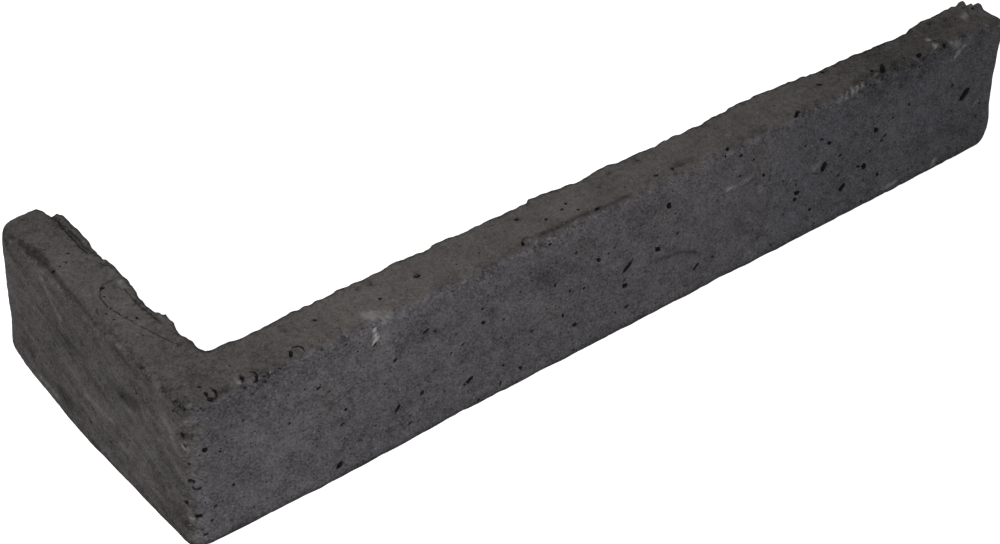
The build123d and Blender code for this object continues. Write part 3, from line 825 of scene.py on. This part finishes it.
def makeConcrete():
    look = concreteSettings
    material = bpy.data.materials.new("charcoal cast concrete")
    tree = newTree(material)
    coords = addNode(tree, "ShaderNodeTexCoord")
    place = coords.outputs["Object"]

    patterns = {}  # each runs from -1 to 1
    for name, (size, detail, stretch, rise, *contrasts) in look["patterns"].items():
        where = addNode(tree, "ShaderNodeMapping", {"vector_type": "TEXTURE"}, {
            "Vector": place, "Rotation": (radians(rise), -radians(rise), 0), "Scale": stretch})
        field = addNode(tree, "ShaderNodeTexNoise", None, {
            "Vector": where.outputs["Vector"], "Scale": 1 / (size * mm), "Detail": detail})
        patterns[name] = spread(tree, field.outputs["Fac"], *look["noiseRange"], -1, 1)

    # browner on the upper bed and on the short leg's face, with uneven borders; on the upper bed partly
    # painted warm light from above
    facing = addNode(tree, "ShaderNodeSeparateXYZ", None, {"Vector": coords.outputs["Normal"]}).outputs
    border = reckon(tree, "MULTIPLY_ADD", patterns["patches"], look["upperBedWaver"], facing["Z"])
    upperBedShare = spread(tree, border, *look["upperBedFacing"])
    shortness = spread(tree, facing["X"], *look["shortFacing"])
    warmth = reckon(tree, "MULTIPLY_ADD", patterns["hues"], look["hueSpread"], shortness)
    spot = addNode(tree, "ShaderNodeSeparateXYZ", None, {"Vector": place}).outputs
    wobble = reckon(tree, "MULTIPLY_ADD", patterns["clouds"], look["drift"] * mm, spot["X"])
    liftEnds = [toFrame((look[key], 0, 0)).x for key in ("darkerFrom", "darkerTo")]
    farness = spread(tree, wobble, *liftEnds)
    base = mix(tree, farness, colour(look["mouldSide"]), colour(look["farEnd"]))
    for share, tint in ((spread(tree, warmth, 0, 1), "mouldWarm"), (upperBedShare, "bedColourAndTopLight")):
        base = mix(tree, share, base, colour(look[tint]))

    # light and dark from the mix itself, from slow clouds down to single grains, and painted shade on the
    # rims, the end arrises and along the foot
    toneAndShade = addNode(tree, "ShaderNodeAttribute", {"attribute_name": "toneAndShade"}).outputs["Fac"]
    for share, amount in ((farness, look["darker"]), (shortness, look["shortDarker"])):
        toneAndShade = reckon(tree, "MULTIPLY_ADD", share, -amount, toneAndShade)
    # below nought on the upper arrises; above it on the rims and along the foot, where it paints shade on
    # skin that turns away from the light
    turning = reckon(tree, "MULTIPLY", facing["Z"], reckon(tree, "ADD", facing["X"], facing["Y"]))
    for side, amount in (("MINIMUM", look["arrisDarker"]), ("MAXIMUM", -look["rimShade"])):
        toneAndShade = reckon(tree, "MULTIPLY_ADD", reckon(tree, side, turning, 0), 2 * amount, toneAndShade)
    # painted shade on the upright arrises at the two ends
    ends = reckon(tree, "MULTIPLY", facing["X"], facing["Y"])
    toneAndShade = reckon(tree, "ADD", spread(tree, ends, *look["endFacing"], 0, -look["endShade"]), toneAndShade)
    rough = reckon(tree, "MULTIPLY", turning, patterns["mottle"])
    toneAndShade = reckon(tree, "MULTIPLY_ADD", rough, -2 * look["arrisMottle"], toneAndShade)
    # painted shade along the foot
    low, high, amount = look["footShade"]
    toneAndShade = reckon(tree, "ADD", spread(tree, spot["Z"], low * mm, high * mm, -amount, 0), toneAndShade)
    for name, (size, detail, stretch, rise, onLong, onShort, onBeds) in look["patterns"].items():
        strength = spread(tree, shortness, 0, 1, onLong, onShort)
        strength = spread(tree, upperBedShare, 0, 1, strength, onBeds)
        toneAndShade = reckon(tree, "MULTIPLY_ADD", patterns[name], strength, toneAndShade)
    base = addNode(tree, "ShaderNodeVectorMath", {"operation": "SCALE"}, {
        0: base, "Scale": reckon(tree, "ADD", toneAndShade, 1)}).outputs[0]

    # pale sand grains, and dark pinholes whose shade is painted as dark dots, in some of the cells of a
    # scatter, with soft edges
    kept = spread(tree, upperBedShare, 0, 1, 1, look["bedSpecks"])
    for size, radius, chance, strength, tint in look["specks"]:
        cells = addNode(tree, "ShaderNodeTexVoronoi", None, {"Vector": place, "Scale": 1 / (size * mm)})
        pick = addNode(tree, "ShaderNodeSeparateColor", None, {"Color": cells.outputs["Color"]}).outputs[0]
        chosen = spread(tree, pick, 1 - chance, 1 - (1 - look["speckFaint"]) * chance, 0, strength)
        dot = spread(tree, cells.outputs["Distance"], radius, look["speckCore"] * radius)
        share = reckon(tree, "MULTIPLY", reckon(tree, "MULTIPLY", dot, chosen), kept)
        base = mix(tree, share, base, colour(look[tint]))

    # painted marks, broken up by the mottling
    broken = spread(tree, patterns["mottle"], *look["markBreaks"])
    for name, tint, blend in (("stain", "stain", "MULTIPLY"), ("bloom", "lime", "MIX")):
        mark = addNode(tree, "ShaderNodeAttribute", {"attribute_name": name}).outputs["Fac"]
        share = reckon(tree, "MULTIPLY", mark, broken)
        base = mix(tree, share, base, colour(look[tint]), blend)
    # painted shade inside the holes and grooves
    holeShade = addNode(tree, "ShaderNodeAttribute", {"attribute_name": "holeShade"}).outputs["Fac"]
    base = mix(tree, holeShade, base, colour(look["hole"]))

    strength, height = look["bump"]
    bump = addNode(tree, "ShaderNodeBump", None, {
        "Height": reckon(tree, "ADD", patterns["mottle"], patterns["grain"]),
        "Strength": strength, "Distance": height * mm})
    skin = addNode(tree, "ShaderNodeBsdfPrincipled", None, {
        "Base Color": base, "Roughness": look["roughness"], "IOR": 1.5, "Specular IOR Level": look["shine"],
        "Normal": bump.outputs["Normal"]})
    addNode(tree, "ShaderNodeOutputMaterial", None, {"Surface": skin.outputs["BSDF"]})
    return material


casting.data.materials.clear()
casting.data.materials.append(makeConcrete())
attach(casting, "root")
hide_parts("corner_slip")
print("concrete")

# Pale floor and soft studio light
studioSettings = {
    "floorSize": 6,  # metres
    "floorGlow": 0.75,  # added to what the camera sees of the floor, so it is white out of the shadow
    "floorSeen": "#e6e6e6",
    "floorBounce": "#1e1e1e",
    "fill": 0.38,
    "lampAim": (0.08, 0.02, 0.02),
    "lampSize": 0.30,
    # each lamp: its place in metres from the outer corner, and its power; the weak one behind lights the
    # glue faces
    "lamps": {"softbox": ((-0.30, -0.36, 0.40), 4.4), "backSoftbox": ((0.42, 0.50, 0.07), 1.9)},
}


def rayIs(tree, *kinds):
    # one for the camera's rays and the other kinds named, nought for the rest
    path = addNode(tree, "ShaderNodeLightPath")
    found = path.outputs["Is Camera Ray"]
    for kind in kinds:
        found = reckon(tree, "MAXIMUM", found, path.outputs[kind])
    return found


bm = bmesh.new()
bmesh.ops.create_grid(bm, x_segments=1, y_segments=1, size=studioSettings["floorSize"] / 2)
floorMesh = bpy.data.meshes.new("floor")
bm.to_mesh(floorMesh)
bm.free()
floor = addToScene("floor", floorMesh)
floorPaint = bpy.data.materials.new("matt white floor")
tree = newTree(floorPaint)
glow = addNode(tree, "ShaderNodeEmission", None, {"Strength": studioSettings["floorGlow"]})
seen = addNode(tree, "ShaderNodeBsdfDiffuse", None, {"Color": colour(studioSettings["floorSeen"])})
both = addNode(tree, "ShaderNodeAddShader", None, {0: glow.outputs[0], 1: seen.outputs[0]})
bounce = addNode(tree, "ShaderNodeBsdfDiffuse", None, {"Color": colour(studioSettings["floorBounce"])})
share = rayIs(tree, "Is Glossy Ray", "Is Transmission Ray")
floorLook = addNode(tree, "ShaderNodeMixShader", None, {0: share, 1: bounce.outputs[0], 2: both.outputs[0]})
addNode(tree, "ShaderNodeOutputMaterial", None, {"Surface": floorLook.outputs[0]})
floor.data.materials.append(floorPaint)

world = bpy.data.worlds.new("studio")
scene.world = world
tree = newTree(world)
fill = addNode(tree, "ShaderNodeBackground", None, {
    "Color": (1, 1, 1, 1), "Strength": studioSettings["fill"]})
white = addNode(tree, "ShaderNodeBackground", None, {"Color": (1, 1, 1, 1), "Strength": 1})
share = rayIs(tree, "Is Glossy Ray", "Is Transmission Ray")
sky = addNode(tree, "ShaderNodeMixShader", None, {0: share, 1: fill.outputs[0], 2: white.outputs[0]})
addNode(tree, "ShaderNodeOutputWorld", None, {"Surface": sky.outputs[0]})

lampAim = outerCorner + Vector(studioSettings["lampAim"])
for name, (place, power) in studioSettings["lamps"].items():
    light = bpy.data.lights.new(name, "AREA")
    light.shape = "DISK"
    light.size = studioSettings["lampSize"]
    light.energy = power
    lamp = addToScene(name, light)
    lampPlace = outerCorner + Vector(place)
    turn = (lampAim - lampPlace).to_track_quat("-Z", "Y").to_matrix().to_4x4()
    lamp.matrix_world = Matrix.Translation(lampPlace) @ turn
    lamp.visible_camera = False

scene.view_settings.view_transform = "Standard"
print("studio")
